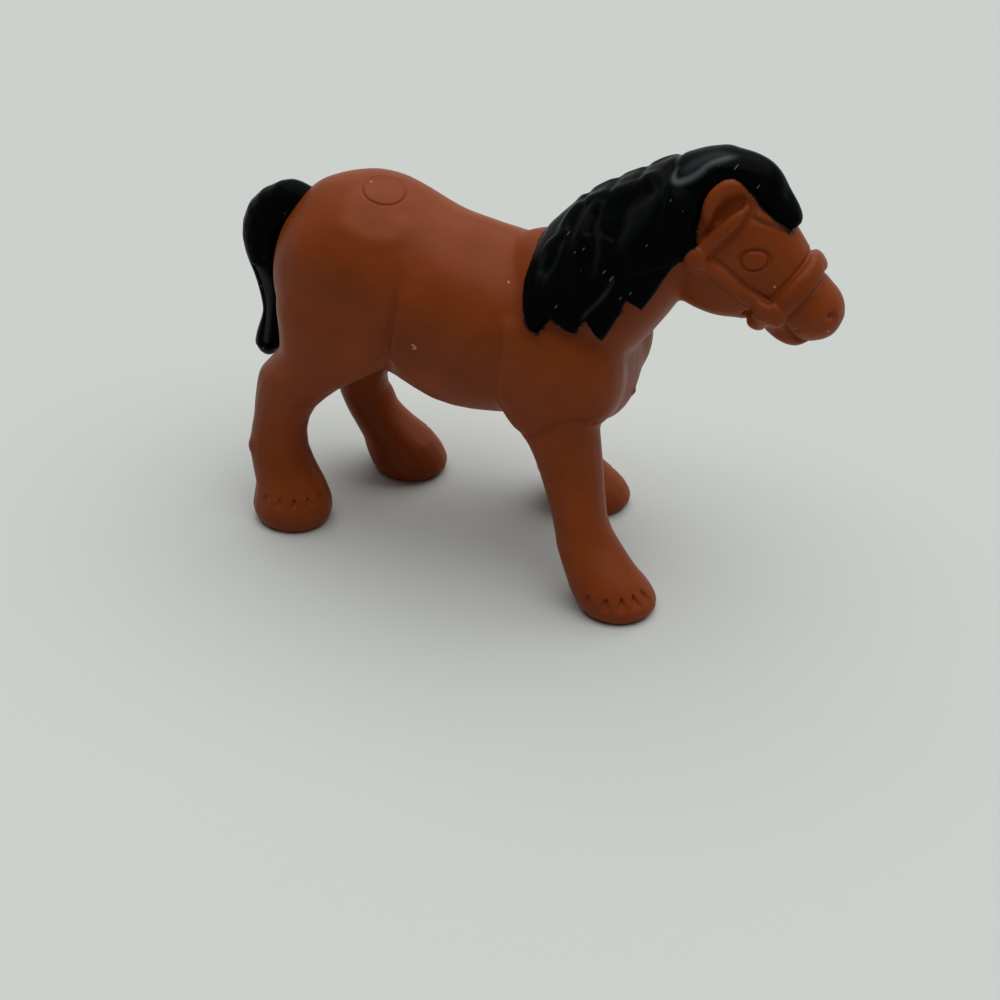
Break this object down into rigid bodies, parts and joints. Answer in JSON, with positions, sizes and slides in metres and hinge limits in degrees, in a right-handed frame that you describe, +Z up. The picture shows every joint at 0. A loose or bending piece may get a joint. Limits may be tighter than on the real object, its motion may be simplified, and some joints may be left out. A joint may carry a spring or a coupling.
{
  "type": "toy farm animal figure",
  "caption": "Toy farm horse in a walking pose: brown plastic body in two halves, black mane with forelock and black tail, standing on flat hoof soles.",
  "frame": {"origin": "on the floor under the hoof soles, at the middle of the figure's length and width", "axes": "+X towards the head, +Y to the horse's left side, +Z up"},
  "size_m": [0.059, 0.0236, 0.0451],
  "materials": {
    "brown_plastic": "satin chestnut brown moulded plastic",
    "black_plastic": "gloss black moulded plastic"
  },
  "bodies": {
    "root": {"body_shell_right": "brown_plastic", "body_shell_left": "brown_plastic", "mane": "black_plastic", "tail": "black_plastic"}
  },
  "joints": []
}
